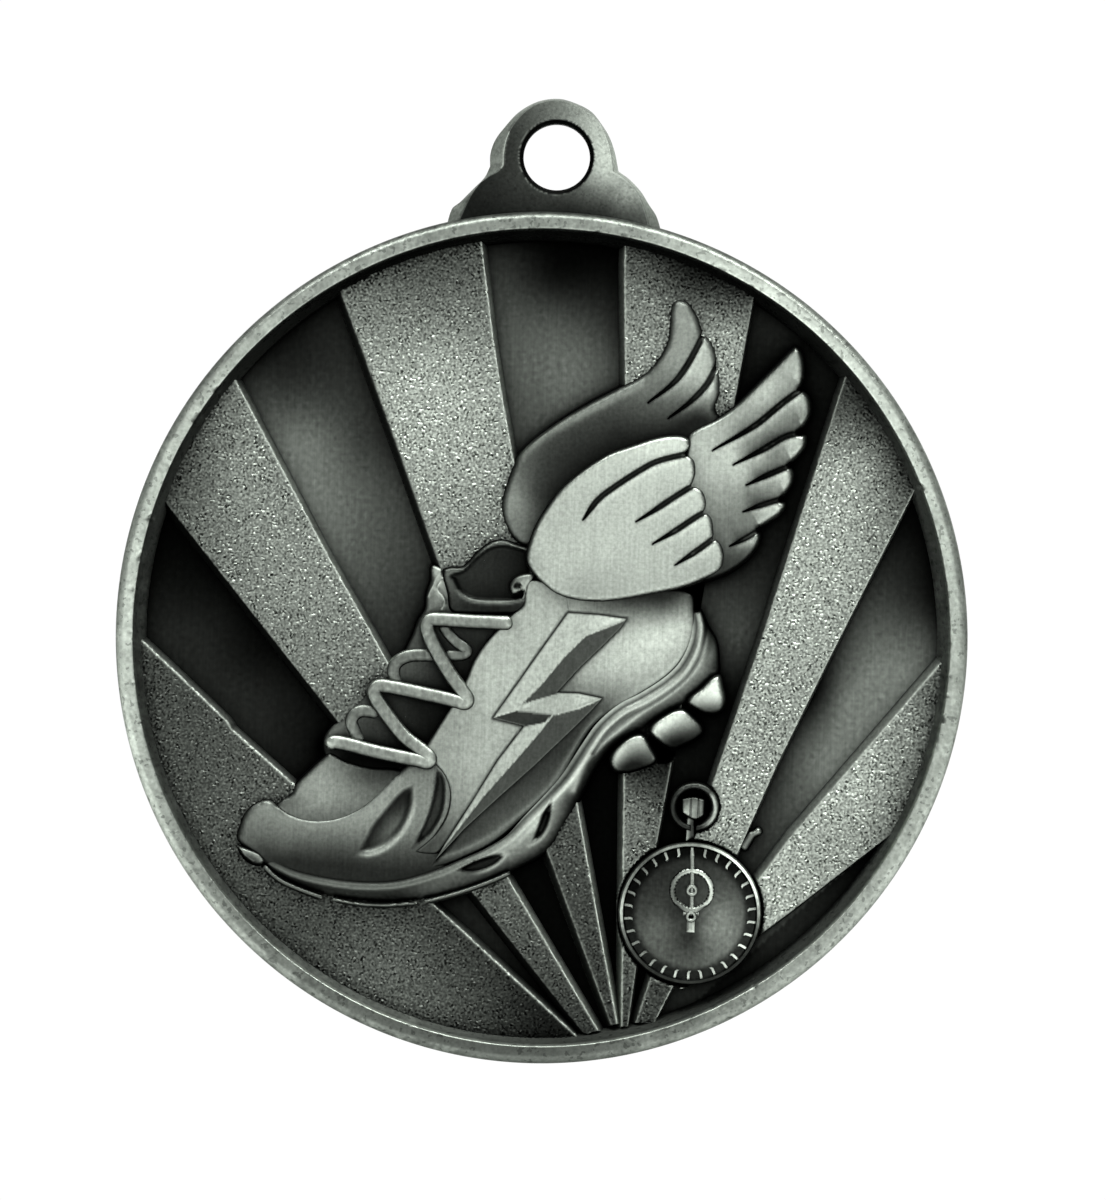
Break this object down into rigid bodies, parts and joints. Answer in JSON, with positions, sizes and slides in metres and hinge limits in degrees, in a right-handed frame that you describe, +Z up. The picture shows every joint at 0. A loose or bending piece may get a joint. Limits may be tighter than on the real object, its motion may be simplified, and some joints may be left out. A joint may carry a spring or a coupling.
{
  "type": "sports finisher medal",
  "caption": "Round relief medal with a raised border and a ribbon lug: a winged running shoe and a stopwatch in front of a stippled sunburst, antique silver finish.",
  "frame": {"origin": "centre of the ribbon eye in the lug, on the mid-plane of the medal's thickness", "axes": "+Z up along the lug's centre line, from the disc to the eye; +Y out of the back, so the relief faces -Y; +X to the right as the front is seen"},
  "size_m": [0.05, 0.0036, 0.0566],
  "materials": {
    "border": "antique silver plating, satin and lightly pitted on the flat, rubbed bright at the edges",
    "brushed_ground": "antique silver plating, brushed upright, darkened in the corners",
    "stippled_ray": "antique silver plating over fine stippling, dark in the pits, with bright bevelled edges",
    "lug": "antique silver plating, satin, darkened in the corners",
    "wing": "antique silver plating, rubbed bright, brushed upright",
    "wing_shade": "antique silver plating left darker, brushed",
    "shoe": "antique silver plating, satin, bright on the ridges and black in the folds",
    "sole": "antique silver plating, satin, bright on the ridges and black in the folds",
    "watch": "antique silver plating, brushed dial with bright raised marks"
  },
  "bodies": {
    "root": {"border_rim": "border", "far_wing": "wing_shade", "heel_lug_1": "sole", "heel_lug_2": "sole", "heel_lug_3": "sole", "lace_back_1": "shoe", "lace_back_2": "shoe", "lace_back_3": "shoe", "medal_disc": "brushed_ground", "near_wing_feathers": "wing", "near_wing_shoulder": "wing", "outsole_rib_1": "sole", "outsole_rib_2": "sole", "outsole_rib_3": "sole", "ribbon_lug": "lug", "shoe_collar": "shoe", "shoe_flash_panel": "shoe", "shoe_heel_panel": "shoe", "shoe_lace": "shoe", "shoe_midsole": "sole", "shoe_quarter": "shoe", "shoe_toe_guard": "shoe", "shoe_tongue": "shoe", "shoe_vamp": "shoe", "sunray_1": "stippled_ray", "sunray_2": "stippled_ray", "sunray_3": "stippled_ray", "sunray_4": "stippled_ray", "sunray_5": "stippled_ray", "sunray_6": "stippled_ray", "toe_lug": "sole", "watch_bow": "watch", "watch_case": "watch", "watch_crown": "watch", "watch_dial_marks": "watch", "watch_minute_track": "watch", "watch_pusher": "watch", "watch_stem": "watch"}
  },
  "joints": []
}
